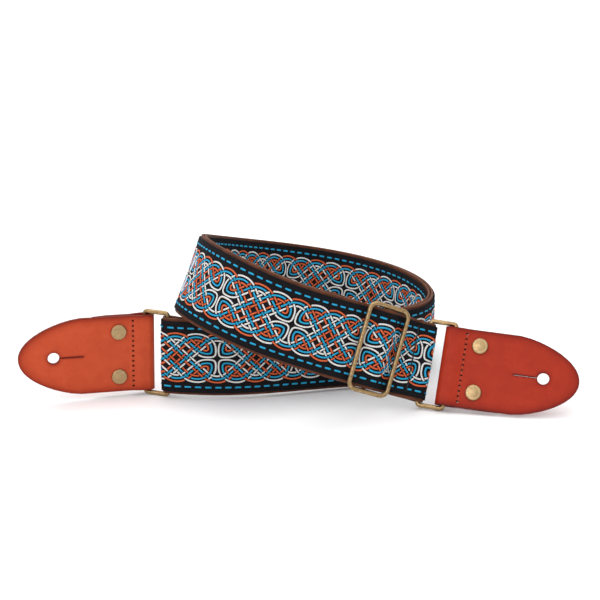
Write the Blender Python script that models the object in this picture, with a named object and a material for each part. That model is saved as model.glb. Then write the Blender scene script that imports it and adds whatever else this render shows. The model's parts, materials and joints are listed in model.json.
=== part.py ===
"""A two-inch adjustable guitar strap, buckled at its shortest and coiled up on its edge.

The strap is one long band: a woven ribbon on a leather backing. One end is sewn round the slider's
centre bar. From there the band runs back as the inner layer to the left ring, turns round that ring's
bar, comes forward again as the outer layer, threads the slider and ends sewn round the right ring's bar.
Each ring carries a leather tab, folded over the ring's other bar, sewn across and riveted.

Everything is first described flat, as the strap looks from above its edge: s runs along the strap from
the left ring, o is how far a surface lies outside the middle of the doubled band, and w runs across it.
The route then bends and twists that flat model into the coil.
"""
import math

import bmesh
import bpy
from mathutils import Matrix, Vector

MM = 0.001

# The band, in mm
STRAP_WIDTH = 50.0
RIBBON_WIDTH = 46.6
BACKING_THICKNESS = 1.6
RIBBON_THICKNESS = 0.9
TOUCH_GAP = 0.3
LAYER_GAP = 0.5
BAND_STEP = 6.0
EASED_STEP = 3.0
BAND_COLUMNS = 3

# The route: how far the strap bends round and twists over each stretch, in degrees
STRETCH = 42.0
ROUTE_START = (-85.4, -56.7, 28.35)
START_HEADING = -21.0
START_PITCH = -1.0
LEFT_RUN = ((31, 0), (21, 0), (2, 0), (-6, 0))
RIGHT_CURL = ((65, 0), (31, 0), (22, 6), (28, 5))
BACK_RUN = ((52, 5), (27, 4), (11, 0), (14, -8))
LEFT_CURL = ((19, -13), (37, 3), (52, 10))
FRONT_BAND = ((15, -9), (2, -13), (-17, -12))
ROUTE = LEFT_RUN + RIGHT_CURL + BACK_RUN + LEFT_CURL + FRONT_BAND
ROUTE_STEP = 1.0
STIFF_RELEASE = 14.0

# The rings and the slider, bent from round wire
WIRE_RADIUS = 1.45
RING_INSIDE = 50.8
RING_PITCH = 16.0
RING_CORNER = 2.0
SLIDER_INSIDE = 51.0
SLIDER_PITCH = 28.0
SLIDER_CORNER = 5.0
SLIDER_FROM_END = 42.0
SLIDER_SET_BACK = 5.0
CENTRE_BAR_RADIUS = 1.4

# The band's levels at the slider: how far its backing's middle lies outside the doubled band's middle
OUTER_LEVEL = LAYER_GAP / 2 + BACKING_THICKNESS / 2
HUMP_LEVEL = 6.6
SEWN_LEVEL = -3.3
SWIVEL_ROOM = 1.2
SLIDER_TAIL = 30.0
RING_TAIL = 24.0
RING_SEAM = 15.0
SLIDER_SEAM = 20.5

# The leather tabs
TAB_WIDTH = 49.4
TAB_LENGTH = 86.0
TAB_THICKNESS = 2.4
TAB_PLY_GAP = 0.4
TAB_TAPER = 39.0
TAB_TAPER_POWER = 1.45
FLAP_LENGTH = 39.0
FLAP_SKIVE = 9.0
FOLD_SLACK = 1.7
TAB_SEAM = 14.0
TAB_SEAM_HOLES = 14
TAB_SEAM_PITCH = 3.3
RIVET_FROM_FOLD = 23.0
RIVET_SPACING = 29.4
BUTTON_HOLE_RADIUS = 3.7
BUTTON_HOLE_FROM_POINT = 22.0
SLIT_LENGTH = 15.5
SLIT_WIDTH = 0.5

# How far each ring turns from the strap and each tab from its ring, towards the front, and how far the
# tab leans in its own plane, in degrees
LEFT_TURNS = (-3.0, 36.0, 0.0)
RIGHT_TURNS = (35.0, 0.0, -1.2)

# Rivets
CAP_RADIUS = 5.0
CAP_HEIGHT = 1.9
SOCKET_RADIUS = 2.4
SHANK_RADIUS = 1.5
FOOT_RADIUS = 4.5
FOOT_THICKNESS = 0.9
RIVET_GAP = 0.35

# Thread
THREAD_RADIUS = 0.42
STITCH_HOLE_RADIUS = 0.85
BAND_SEAM_HOLES = 9
BAND_SEAM_PITCH = 5.2

# Colour, roughness and metallic value of each material
MATERIALS = {
    "ribbon_weave": ((0.025, 0.025, 0.03), 0.85, 0.0),
    "backing_leather": ((0.17, 0.06, 0.03), 0.6, 0.0),
    "tab_leather": ((0.62, 0.12, 0.05), 0.45, 0.0),
    "antique_brass": ((0.55, 0.40, 0.20), 0.35, 1.0),
    "black_thread": ((0.02, 0.02, 0.02), 0.8, 0.0),
    "brown_thread": ((0.45, 0.13, 0.06), 0.8, 0.0),
}


# ---------------------------------------------------------------- route

def bend_and_twist(s):
    """The bend and twist per mm at s, blended evenly from each stretch to the next."""
    place = min(max(s / STRETCH, 0.0), len(ROUTE) - 1.0)
    i = min(int(place), len(ROUTE) - 2)
    part = place - i
    mixed = [ROUTE[i][k] * (1 - part) + ROUTE[i + 1][k] * part for k in (0, 1)]
    return [math.radians(v) / STRETCH for v in mixed]


def make_route():
    """Frames along the strap: matrices whose axes are along it, out of the coil, and across it."""
    heading = math.radians(START_HEADING)
    pitch = math.radians(START_PITCH)
    level = math.cos(pitch)
    along = Vector((math.cos(heading) * level, math.sin(heading) * level, math.sin(pitch)))
    inward = Vector((-math.sin(heading), math.cos(heading), 0.0))
    across = along.cross(inward)
    point = Vector(ROUTE_START)
    frames = []
    for i in range(int((len(ROUTE) - 1) * STRETCH / ROUTE_STEP) + 1):
        frames.append((point.copy(), along.copy(), -inward, across.copy()))
        bend, twist = bend_and_twist((i + 0.5) * ROUTE_STEP)
        turn = along * twist + across * bend
        spin = Matrix.Rotation(turn.length * ROUTE_STEP, 3, turn.normalized())
        half = Matrix.Rotation(turn.length * ROUTE_STEP / 2, 3, turn.normalized())
        point += half @ along * ROUTE_STEP
        along, inward, across = spin @ along, spin @ inward, spin @ across
    return frames


FRAMES = make_route()
STRAP_LENGTH = (len(FRAMES) - 1) * ROUTE_STEP


def frame_at(s):
    """The route's point, along, out and across vectors at s. Past either end it runs on straight."""
    inside = min(max(s, 0.0), STRAP_LENGTH)
    i = min(int(inside / ROUTE_STEP), len(FRAMES) - 2)
    part = inside / ROUTE_STEP - i
    point, along, out, across = [a.lerp(b, part) for a, b in zip(FRAMES[i], FRAMES[i + 1])]
    return point + along * (s - inside), along.normalized(), out.normalized(), across.normalized()


def rigid_place(s, o, way):
    """The place of a stiff piece at s, o: x along the strap (way 1) or back along it (-1), y outwards."""
    point, along, out, _ = frame_at(s)
    x = along * way
    matrix = Matrix((x, out, x.cross(out))).transposed().to_4x4()
    matrix.translation = point + out * o
    return matrix


def bent(s, o, w):
    """Where the flat model's point (s, o, w) lies on the coiled strap. Metal keeps it flat nearby."""
    point, _, out, across = frame_at(s)
    place = point + out * o + across * w
    for centre, reach in STIFF_PLACES:
        part = (abs(s - centre) - reach) / STIFF_RELEASE
        if part < 1:
            middle, along, out, across = frame_at(centre)
            flat = middle + along * (s - centre) + out * o + across * w
            place = flat.lerp(place, ease(0, 1, part))
    return place


# ---------------------------------------------------------------- meshes and objects

def make_object(name, mesh, material=None, place=None, parent=None):
    """Links a mesh made in mm as an object in metres, set by a matrix in mm in its parent's frame."""
    mesh.transform(Matrix.Scale(MM, 4))
    obj = bpy.data.objects.new(name, mesh)
    bpy.context.collection.objects.link(obj)
    obj.parent = parent
    if place is not None:
        obj.location = place.translation * MM
        obj.rotation_euler = place.to_euler()
    if material:
        mesh.materials.append(material)
        mesh.shade_smooth()
        mesh.set_sharp_from_angle(angle=math.radians(35))
    return obj


def mesh_from(name, vertices, faces):
    """A mesh of triangles facing outward, from points in mm."""
    mesh = bpy.data.meshes.new(name)
    mesh.from_pydata([tuple(v) for v in vertices], [], faces)
    work = bmesh.new()
    work.from_mesh(mesh)
    bmesh.ops.triangulate(work, faces=work.faces)
    bmesh.ops.recalc_face_normals(work, faces=work.faces)
    work.to_mesh(mesh)
    work.free()
    return mesh


def sweep(name, sections, closed=False):
    """Joins rings of points into one solid: a closed loop, or a bar with flat ends."""
    size = len(sections[0])
    points = [p for ring in sections for p in ring]
    count = len(sections)
    faces = []
    for i in range(count if closed else count - 1):
        a, b = i * size, ((i + 1) % count) * size
        faces += [(a + k, a + (k + 1) % size, b + (k + 1) % size, b + k) for k in range(size)]
    if not closed:
        faces += [tuple(range(size)), tuple((count - 1) * size + k for k in range(size))]
    return mesh_from(name, points, faces)


def tube_sections(path, radius, sides, closed=False):
    """Rings of points round a path, with as little spin between them as can be."""
    count = len(path)
    sections = []
    side = None
    for i, p in enumerate(path):
        before = path[i - 1] if i or closed else p
        after = path[(i + 1) % count] if i + 1 < count or closed else p
        along = (after - before).normalized()
        if side is None:
            side = along.orthogonal()
        side = (side - along * side.dot(along)).normalized()
        other = along.cross(side)
        corner = 1.0
        if before is not p and after is not p:
            corner = 1 / max(math.cos((p - before).angle(after - p) / 2), 0.5)
        ring = []
        for k in range(sides):
            angle = 2 * math.pi * (k + 0.5) / sides
            ring.append(p + (side * math.cos(angle) + other * math.sin(angle)) * radius * corner)
        sections.append(ring)
    return sections


def cut(obj, cutters):
    """Cuts the joined cutters, made in mm in the object's own frame, out of it."""
    cutter = make_object(obj.name + "_cutter", cutters, parent=obj)
    cutter.hide_render = True
    cutter.display_type = "WIRE"
    modifier = obj.modifiers.new("holes", "BOOLEAN")
    modifier.operation = "DIFFERENCE"
    modifier.object = cutter


def join_meshes(name, meshes):
    """One mesh holding several closed ones."""
    work = bmesh.new()
    for mesh in meshes:
        work.from_mesh(mesh)
        bpy.data.meshes.remove(mesh)
    joined = bpy.data.meshes.new(name)
    work.to_mesh(joined)
    work.free()
    return joined


def pegs(name, holes, radius, reach, sides=6):
    """Straight pegs through the holes, to cut them. A hole is a point and the way that it is cut."""
    parts = []
    for point, out in holes:
        path = [point - out * reach, point + out * reach]
        parts.append(sweep(name, tube_sections(path, radius, sides)))
    return join_meshes(name, parts)


def running_stitch(holes, front, back):
    """A thread's path down one hole, along the back, up the next one and along the front."""
    path = []
    for i, (point, out) in enumerate(holes):
        ends = [point + out * front, point + out * back]
        path += ends if i % 2 == 0 else ends[::-1]
    return path


# ---------------------------------------------------------------- the band, seen from its edge

def ease(a, b, part):
    """A smooth step from a to b."""
    part = min(max(part, 0.0), 1.0)
    return a + (b - a) * part * part * (3 - 2 * part)


def layer_line(levels):
    """Points (s, o) of one layer through the given ones: spaced evenly where level, eased where not."""
    points = [levels[0]]
    for (s0, o0), (s1, o1) in zip(levels, levels[1:]):
        if o0 == o1:
            first, last = math.ceil((s0 + 1) / BAND_STEP), math.floor((s1 - 1) / BAND_STEP)
            points += [(i * BAND_STEP, o0) for i in range(first, last + 1)]
        else:
            count = max(3, round((s1 - s0) / EASED_STEP))
            points += [(s0 + (s1 - s0) * i / count, ease(o0, o1, i / count)) for i in range(1, count)]
        points.append((s1, o1))
    return points


def half_turn(centre, radius, first_angle, steps=8):
    """Points round a bar, turning clockwise through half a circle."""
    points = []
    for i in range(1, steps):
        angle = math.radians(first_angle - 180 * i / steps)
        points.append((centre[0] + radius * math.cos(angle), centre[1] + radius * math.sin(angle)))
    return points


def band_line():
    """The backing's middle from the slider's sewn end to the right ring's, the ribbon on its left."""
    turn = WIRE_RADIUS + TOUCH_GAP + BACKING_THICKNESS / 2
    slim = CENTRE_BAR_RADIUS + TOUCH_GAP + BACKING_THICKNESS / 2
    lower = SEWN_LEVEL - BACKING_THICKNESS - LAYER_GAP
    s, o = SLIDER_S, CENTRE_BAR_O
    tail = layer_line([(s - SLIDER_TAIL, SEWN_LEVEL), (s - 12, SEWN_LEVEL), (s - 1, o + slim)])
    inner = layer_line([(LEFT_BAR_S, -turn), (LEFT_BAR_S + 13, -OUTER_LEVEL), (s - 56, -OUTER_LEVEL),
                        (s - 32, lower), (s - 12, lower), (s, o - slim)])
    outer = layer_line([(LEFT_BAR_S, turn), (LEFT_BAR_S + 13, OUTER_LEVEL), (s - 12.5, OUTER_LEVEL),
                        (s - 1, HUMP_LEVEL), (s + 1, HUMP_LEVEL), (s + 12.5, OUTER_LEVEL),
                        (RIGHT_BAR_S - 10, OUTER_LEVEL), (RIGHT_BAR_S, turn)])
    end_tail = layer_line([(STRAP_LENGTH - RING_TAIL, -OUTER_LEVEL), (RIGHT_BAR_S - 10, -OUTER_LEVEL),
                           (RIGHT_BAR_S, -turn)])
    points = tail + half_turn((s, o), slim, 90) + inner[::-1]
    points += half_turn((LEFT_BAR_S, 0), turn, 270) + outer
    points += half_turn((RIGHT_BAR_S, 0), turn, 90) + end_tail[::-1]
    return points


def band_solid(name, line, near, far, width):
    """A solid as wide as given, between two distances to the left of the band's line."""
    sections = []
    for i, (s, o) in enumerate(line):
        before = line[max(i - 1, 0)]
        after = line[min(i + 1, len(line) - 1)]
        run, rise = after[0] - before[0], after[1] - before[1]
        length = math.hypot(run, rise)
        left = (-rise / length, run / length)
        across = [width * (k / BAND_COLUMNS - 0.5) for k in range(BAND_COLUMNS + 1)]
        edge = [(near, w) for w in across] + [(far, w) for w in across[::-1]]
        sections.append([bent(s + left[0] * d, o + left[1] * d, w) for d, w in edge])
    return sweep(name, sections)


def band_seam(s):
    """Stitch holes in a row across the band at s."""
    _, _, out, _ = frame_at(s)
    first = -(BAND_SEAM_HOLES - 1) / 2 * BAND_SEAM_PITCH
    return [(bent(s, 0, first + i * BAND_SEAM_PITCH), out) for i in range(BAND_SEAM_HOLES)]


def make_band(ribbon_material, backing_material, thread_material):
    """The ribbon, its leather backing and the two seams that hold the band's sewn ends."""
    line = band_line()
    half = BACKING_THICKNESS / 2
    under = half + TOUCH_GAP
    ribbon_mesh = band_solid("strap_ribbon", line, under, under + RIBBON_THICKNESS, RIBBON_WIDTH)
    backing_mesh = band_solid("strap_backing", line, -half, half, STRAP_WIDTH)
    ribbon = make_object("strap_ribbon", ribbon_mesh, ribbon_material)
    backing = make_object("strap_backing", backing_mesh, backing_material)

    layer = half + TOUCH_GAP + RIBBON_THICKNESS
    reach = THREAD_RADIUS + 0.35
    ring_holes = band_seam(STRAP_LENGTH - RING_SEAM)
    ring_front = OUTER_LEVEL + layer + reach
    lower = SEWN_LEVEL - BACKING_THICKNESS - LAYER_GAP
    slider_holes = band_seam(SLIDER_S - SLIDER_SEAM)
    slider_front = SEWN_LEVEL + layer + reach
    slider_back = lower - layer - reach
    seams = (("ring_seam_thread", ring_holes, ring_front, -ring_front),
             ("slider_seam_thread", slider_holes, slider_front, slider_back))
    for name, holes, front, back in seams:
        mesh = sweep(name, tube_sections(running_stitch(holes, front, back), THREAD_RADIUS, 5))
        make_object(name, mesh, thread_material)
    middle = (slider_front + slider_back) / 2
    deep = (slider_front - slider_back) / 2 - 0.05
    slider_spots = [(p + out * middle, out) for p, out in slider_holes]
    slider_pegs = pegs("slider_pegs", slider_spots, STITCH_HOLE_RADIUS, deep)
    ring_pegs = pegs("ring_pegs", ring_holes, STITCH_HOLE_RADIUS, ring_front)
    cutters = join_meshes("band_pegs", [slider_pegs, ring_pegs])
    cut(ribbon, cutters.copy())
    cut(backing, cutters)


# ---------------------------------------------------------------- rings and slider

def rounded_rectangle(length, width, radius, steps=5):
    """A closed path in the x, z plane with round corners, centred on the origin."""
    points = []
    for quarter, (sx, sz) in enumerate(((1, 1), (-1, 1), (-1, -1), (1, -1))):
        centre = (sx * (length / 2 - radius), sz * (width / 2 - radius))
        for i in range(steps + 1):
            angle = math.radians(90 * quarter + 90 * i / steps)
            x = centre[0] + radius * math.cos(angle)
            z = centre[1] + radius * math.sin(angle)
            points.append(Vector((x, 0, z)))
    return points


def make_ring(name, place, material):
    """A rectangular wire ring: its strap bar lies on its origin, where it hinges, and its tab bar at +x."""
    path = rounded_rectangle(RING_PITCH, RING_INSIDE + 2 * WIRE_RADIUS, RING_CORNER)
    path = [p + Vector((RING_PITCH / 2, 0, 0)) for p in path]
    mesh = sweep(name, tube_sections(path, WIRE_RADIUS, 10, True), True)
    return make_object(name, mesh, material, place)


def make_slider(place, material):
    """The slider's centre bar, which it turns on, and its frame in front of the outer layer."""
    reach = SLIDER_INSIDE / 2 + WIRE_RADIUS
    fixed = SLIDER_SET_BACK - WIRE_RADIUS - TOUCH_GAP - CENTRE_BAR_RADIUS
    bar_path = [Vector((0, fixed, -reach)), Vector((0, 0, -reach + 1.6)),
                Vector((0, 0, reach - 1.6)), Vector((0, fixed, reach))]
    bar = sweep("slider_centre_bar", tube_sections(bar_path, CENTRE_BAR_RADIUS, 10))
    centre_bar = make_object("slider_centre_bar", bar, material, place)

    path = rounded_rectangle(SLIDER_PITCH, SLIDER_INSIDE + 2 * WIRE_RADIUS, SLIDER_CORNER)
    frame = sweep("slider_frame", tube_sections(path, WIRE_RADIUS, 10, True), True)
    make_object("slider_frame", frame, material, Matrix.Translation((0, SLIDER_SET_BACK, 0)), centre_bar)


# ---------------------------------------------------------------- tabs

def tab_outline():
    """The front ply's outline from the fold to the point and back, as (distance from the fold, w)."""
    steps = 12
    half = []
    for i in range(steps + 1):
        part = 1 - ((steps - i) / steps) ** 2
        across = TAB_WIDTH / 2 * math.sqrt(1 - part ** TAB_TAPER_POWER)
        half.append((TAB_LENGTH - TAB_TAPER * (1 - part), across))
    return [(x, -w) for x, w in half] + half[-2::-1]


def tab_solid(name):
    """The folded leather: x runs from the fold's bar to the point, y out of the front, z across."""
    inner = WIRE_RADIUS + TOUCH_GAP
    outer = inner + TAB_THICKNESS
    near = TAB_PLY_GAP / 2
    back_level = -near - TAB_THICKNESS
    closing = 9.0
    fold_steps = 12
    skived = 0.7

    def side(inside):
        """One face of the fold seen from the edge, from the front ply round the bar to the flap."""
        radius = inner if inside else outer
        level = near if inside else near + TAB_THICKNESS
        points = [(FOLD_SLACK + closing * (1 - i / 4), ease(level, radius, i / 4)) for i in range(5)]
        for i in range(fold_steps + 1):
            angle = math.radians(90 + 180 * i / fold_steps)
            points.append((radius * math.cos(angle) - FOLD_SLACK, radius * math.sin(angle)))
        points += [(FOLD_SLACK + closing * i / 4, -ease(radius, level, i / 4)) for i in range(5)]
        return points

    half = TAB_WIDTH / 2
    outside, inside = side(False), side(True)
    flap_end = FLAP_LENGTH - TAB_FOLD
    flap = [(flap_end - FLAP_SKIVE, back_level), (flap_end, -near - skived), (flap_end, -near),
            (flap_end - FLAP_SKIVE, -near)]
    profile = outside + flap + inside[::-1]
    low = [Vector((x, y, -half)) for x, y in profile]
    high = [Vector((x, y, half)) for x, y in profile]
    front = [(x - TAB_FOLD, w) for x, w in tab_outline()]
    count = len(profile)
    vertices = low + high
    faces = []
    for k in range(count - 1):
        faces.append((k, k + 1, count + k + 1, count + k))
    top_ring = [len(vertices) + i for i in range(len(front))]
    vertices += [Vector((x, near + TAB_THICKNESS, w)) for x, w in front]
    bottom_ring = [len(vertices) + i for i in range(len(front))]
    vertices += [Vector((x, near, w)) for x, w in front]
    last = count - 1
    faces.append([0] + top_ring + [count])
    faces.append([last] + bottom_ring + [count + last])
    for i in range(len(front) - 1):
        faces.append((top_ring[i], top_ring[i + 1], bottom_ring[i + 1], bottom_ring[i]))
    faces.append((0, last, bottom_ring[0], top_ring[0]))
    faces.append((count, count + last, bottom_ring[-1], top_ring[-1]))
    size = len(outside)
    for base in (0, count):
        for k in range(size - 1):
            faces.append((base + k, base + k + 1, base + count - 2 - k, base + count - 1 - k))
        faces.append((base + size - 1, base + size, base + size + 3, base + size + 4))
        faces.append((base + size, base + size + 1, base + size + 2, base + size + 3))
    return mesh_from(name, vertices, faces)


def slit_cutter():
    """The button hole's slit, towards the fold, as a thin block through the leather."""
    hole_x = TAB_LENGTH - BUTTON_HOLE_FROM_POINT - TAB_FOLD
    low, high = hole_x - SLIT_LENGTH - BUTTON_HOLE_RADIUS + 1, hole_x - BUTTON_HOLE_RADIUS + 1
    sections = []
    for y in (-TAB_THICKNESS, TAB_THICKNESS * 2):
        corners = ((low, -1), (high, -1), (high, 1), (low, 1))
        sections.append([Vector((x, y, side * SLIT_WIDTH / 2)) for x, side in corners])
    return sweep("slit", sections)


def turned(name, profile, sides):
    """A solid turned round y from (radius, y) points. The first and last points lie on the axis."""
    vertices = [Vector((0, profile[0][1], 0))]
    rings = []
    for radius, y in profile[1:-1]:
        rings.append([len(vertices) + k for k in range(sides)])
        for k in range(sides):
            angle = 2 * math.pi * k / sides
            vertices.append(Vector((radius * math.cos(angle), y, radius * math.sin(angle))))
    vertices.append(Vector((0, profile[-1][1], 0)))
    faces = [(0, rings[0][k], rings[0][(k + 1) % sides]) for k in range(sides)]
    for a, b in zip(rings, rings[1:]):
        faces += [(a[k], a[(k + 1) % sides], b[(k + 1) % sides], b[k]) for k in range(sides)]
    last = len(vertices) - 1
    faces += [(last, rings[-1][k], rings[-1][(k + 1) % sides]) for k in range(sides)]
    return mesh_from(name, vertices, faces)


def make_rivet(name, place, tab, material):
    """A two-piece rivet: a domed cap with a socket on the front, and a foot whose shank enters it."""
    front = TAB_PLY_GAP / 2 + TAB_THICKNESS + RIVET_GAP
    back = -front
    depth = TAB_THICKNESS + 0.6
    shank_top = front - 0.4
    bore = SHANK_RADIUS + TOUCH_GAP
    cap_profile = [(0, shank_top + TOUCH_GAP), (bore, shank_top + TOUCH_GAP), (bore, front - depth),
                   (SOCKET_RADIUS, front - depth), (SOCKET_RADIUS, front), (CAP_RADIUS, front),
                   (CAP_RADIUS, front + 0.5), (CAP_RADIUS * 0.72, front + CAP_HEIGHT * 0.82),
                   (CAP_RADIUS * 0.38, front + CAP_HEIGHT * 0.97), (0, front + CAP_HEIGHT)]
    foot_profile = [(0, back - FOOT_THICKNESS), (FOOT_RADIUS * 0.86, back - FOOT_THICKNESS),
                    (FOOT_RADIUS, back - FOOT_THICKNESS * 0.5), (FOOT_RADIUS, back),
                    (SHANK_RADIUS, back), (SHANK_RADIUS, shank_top), (0, shank_top)]
    for suffix, profile in (("cap", cap_profile), ("post", foot_profile)):
        mesh = turned(f"{name}_{suffix}", profile, 16)
        make_object(f"{name}_{suffix}", mesh, material, place, tab)


def make_tab(side, ring, turn, lean, upper, leather, brass, thread):
    """One tab, folded round its ring's far bar, with its thread and two rivets. Upper is its top z end."""
    name = f"{side}_tab"
    swing = Matrix.Rotation(math.radians(turn), 4, "Z") @ Matrix.Rotation(math.radians(lean), 4, "Y")
    tab = make_object(name, tab_solid(name), leather, Matrix.Translation((RING_PITCH, 0, 0)) @ swing, ring)
    out = Vector((0, 1, 0))
    first = -(TAB_SEAM_HOLES - 1) / 2 * TAB_SEAM_PITCH
    seam_x = TAB_SEAM - TAB_FOLD
    seam = [(Vector((seam_x, 0, first + i * TAB_SEAM_PITCH)), out) for i in range(TAB_SEAM_HOLES)]
    rivet_x = RIVET_FROM_FOLD - TAB_FOLD
    rivets = [(Vector((rivet_x, 0, z)), out) for z in (-RIVET_SPACING / 2, RIVET_SPACING / 2)]
    button = [(Vector((TAB_LENGTH - BUTTON_HOLE_FROM_POINT - TAB_FOLD, 0, 0)), out)]
    reach = TAB_THICKNESS * 2 + 2
    cut(tab, join_meshes(f"{name}_holes", [
        pegs("seam", seam, STITCH_HOLE_RADIUS, reach),
        pegs("rivets", rivets, SOCKET_RADIUS + RIVET_GAP, reach, 12),
        pegs("button", button, BUTTON_HOLE_RADIUS, reach, 20),
    ]))
    cut(tab, slit_cutter())

    level = TAB_PLY_GAP / 2 + TAB_THICKNESS + THREAD_RADIUS + 0.35
    stitches = sweep("thread", tube_sections(running_stitch(seam, level, -level), THREAD_RADIUS, 5))
    make_object(f"{name}_seam_thread", stitches, thread, parent=tab)
    for label, end in (("lower", -upper), ("upper", upper)):
        spot = Matrix.Translation((RIVET_FROM_FOLD - TAB_FOLD, 0, end * RIVET_SPACING / 2))
        make_rivet(f"{side}_{label}_rivet", spot, tab, brass)


# ---------------------------------------------------------------- the whole strap

LEFT_BAR_S = WIRE_RADIUS + 2 * TOUCH_GAP + BACKING_THICKNESS + RIBBON_THICKNESS
RIGHT_BAR_S = STRAP_LENGTH - LEFT_BAR_S
SLIDER_S = STRAP_LENGTH - SLIDER_FROM_END
SLIDER_O = (OUTER_LEVEL + BACKING_THICKNESS / 2 + TOUCH_GAP + RIBBON_THICKNESS
            + TOUCH_GAP + SWIVEL_ROOM + WIRE_RADIUS)
CENTRE_BAR_O = SLIDER_O - SLIDER_SET_BACK
TAB_FOLD = WIRE_RADIUS + TOUCH_GAP + TAB_THICKNESS + FOLD_SLACK

# Where metal keeps the strap flat: the s of its middle, and how far the flat part reaches
STIFF_PLACES = ((LEFT_BAR_S, 5), (SLIDER_S, 14), (RIGHT_BAR_S, 5))


def main():
    for old in list(bpy.data.objects):
        bpy.data.objects.remove(old)
    made = {}
    for name, (colour, roughness, metallic) in MATERIALS.items():
        material = bpy.data.materials.new(name)
        material.use_nodes = True
        shader = material.node_tree.nodes["Principled BSDF"]
        shader.inputs["Base Color"].default_value = (*colour, 1.0)
        shader.inputs["Roughness"].default_value = roughness
        shader.inputs["Metallic"].default_value = metallic
        made[name] = material
    brass = made["antique_brass"]
    make_band(made["ribbon_weave"], made["backing_leather"], made["black_thread"])
    make_slider(rigid_place(SLIDER_S, CENTRE_BAR_O, 1), brass)
    ends = (("left", LEFT_BAR_S, -1, LEFT_TURNS, 1), ("right", RIGHT_BAR_S, 1, RIGHT_TURNS, -1))
    for side, bar_s, way, (ring_turn, tab_turn, lean), upper in ends:
        swing = Matrix.Rotation(math.radians(ring_turn), 4, "Z")
        ring = make_ring(f"{side}_ring", rigid_place(bar_s, 0, way) @ swing, brass)
        make_tab(side, ring, tab_turn, lean * upper, upper, made["tab_leather"], brass, made["brown_thread"])


main()
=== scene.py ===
"""The looks of the coiled guitar strap: woven knotwork ribbon, leather, thread and antique brass.

The band's route, in mm, is the CAD part's own. A place on the band is given by its length along the band
from the sewn end at the slider, its w across the band, and its height above the middle of the backing.
"""
import json
import math

import bpy
import numpy as np
from mathutils import Matrix, Vector


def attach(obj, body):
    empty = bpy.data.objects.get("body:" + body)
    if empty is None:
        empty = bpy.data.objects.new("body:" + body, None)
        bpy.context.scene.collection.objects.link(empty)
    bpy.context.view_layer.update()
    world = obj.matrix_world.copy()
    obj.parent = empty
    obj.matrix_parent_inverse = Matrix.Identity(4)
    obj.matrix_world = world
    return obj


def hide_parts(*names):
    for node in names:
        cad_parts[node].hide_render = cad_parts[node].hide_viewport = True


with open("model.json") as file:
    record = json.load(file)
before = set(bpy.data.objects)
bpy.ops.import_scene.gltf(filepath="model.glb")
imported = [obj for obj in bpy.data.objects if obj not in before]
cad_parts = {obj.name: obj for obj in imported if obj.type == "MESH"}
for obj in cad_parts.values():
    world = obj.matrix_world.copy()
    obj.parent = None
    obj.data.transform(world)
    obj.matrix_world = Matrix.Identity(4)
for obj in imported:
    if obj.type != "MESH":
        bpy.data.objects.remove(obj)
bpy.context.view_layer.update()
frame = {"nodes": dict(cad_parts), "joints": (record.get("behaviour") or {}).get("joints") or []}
MM = 0.001

# The band's route on its coil, as in the CAD part: (bend, twist) in degrees for each stretch
STRETCH = 42.0
ROUTE_START = (-85.4, -56.7, 28.35)
START_HEADING = -21.0
START_PITCH = -1.0
LEFT_RUN = ((31, 0), (21, 0), (2, 0), (-6, 0))
RIGHT_CURL = ((65, 0), (31, 0), (22, 6), (28, 5))
BACK_RUN = ((52, 5), (27, 4), (11, 0), (14, -8))
LEFT_CURL = ((19, -13), (37, 3), (52, 10))
FRONT_BAND = ((15, -9), (2, -13), (-17, -12))
ROUTE = np.radians(LEFT_RUN + RIGHT_CURL + BACK_RUN + LEFT_CURL + FRONT_BAND) / STRETCH
ROUTE_STEP = 1.0
STRAP_LENGTH = (len(ROUTE) - 1) * STRETCH

# The band, its rings and its slider, as in the CAD part
STRAP_WIDTH = 50.0
RIBBON_WIDTH = 46.6
BACKING_THICKNESS = 1.6
RIBBON_THICKNESS = 0.9
TOUCH_GAP = 0.3
LAYER_GAP = 0.5
WIRE_RADIUS = 1.45
RING_INSIDE = 50.8
RING_PITCH = 16.0
RING_CORNER = 2.0
SLIDER_INSIDE = 51.0
SLIDER_PITCH = 28.0
SLIDER_CORNER = 5.0
SLIDER_FROM_END = 42.0
SLIDER_SET_BACK = 5.0
SWIVEL_ROOM = 1.2
CENTRE_BAR_RADIUS = 1.4
HUMP_LEVEL = 6.6
SEWN_LEVEL = -3.3
SLIDER_TAIL = 30.0
RING_TAIL = 24.0
RING_SEAM = 15.0
SLIDER_SEAM = 20.5
SEAM_HOLES = 9
SEAM_PITCH = 5.2

# Where the layers change their level, by how far it is from the left ring's bar, the right ring's bar or the
# slider's middle
LEFT_LOOP = 13
RIGHT_LOOP = 10
DROP_START = 56
DROP_END = 32
SEWN_FLAT = 12
HUMP_START = 12.5
HUMP_TOP = 1

OUTER_LEVEL = LAYER_GAP / 2 + BACKING_THICKNESS / 2
RIBBON_LOW = BACKING_THICKNESS / 2 + TOUCH_GAP
RIBBON_FACE = RIBBON_LOW + RIBBON_THICKNESS
LEFT_BAR_S = WIRE_RADIUS + 2 * TOUCH_GAP + BACKING_THICKNESS + RIBBON_THICKNESS
RIGHT_BAR_S = STRAP_LENGTH - LEFT_BAR_S
SLIDER_S = STRAP_LENGTH - SLIDER_FROM_END
SLIDER_O = OUTER_LEVEL + RIBBON_FACE + TOUCH_GAP + SWIVEL_ROOM + WIRE_RADIUS
CENTRE_BAR_O = SLIDER_O - SLIDER_SET_BACK

# Where metal keeps the strap flat: the s of its middle, how far the flat part reaches, and how far past that
# the strap eases back into its curve
STIFF_PLACES = ((LEFT_BAR_S, 5), (SLIDER_S, 14), (RIGHT_BAR_S, 5))
STIFF_RELEASE = 14.0

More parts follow.
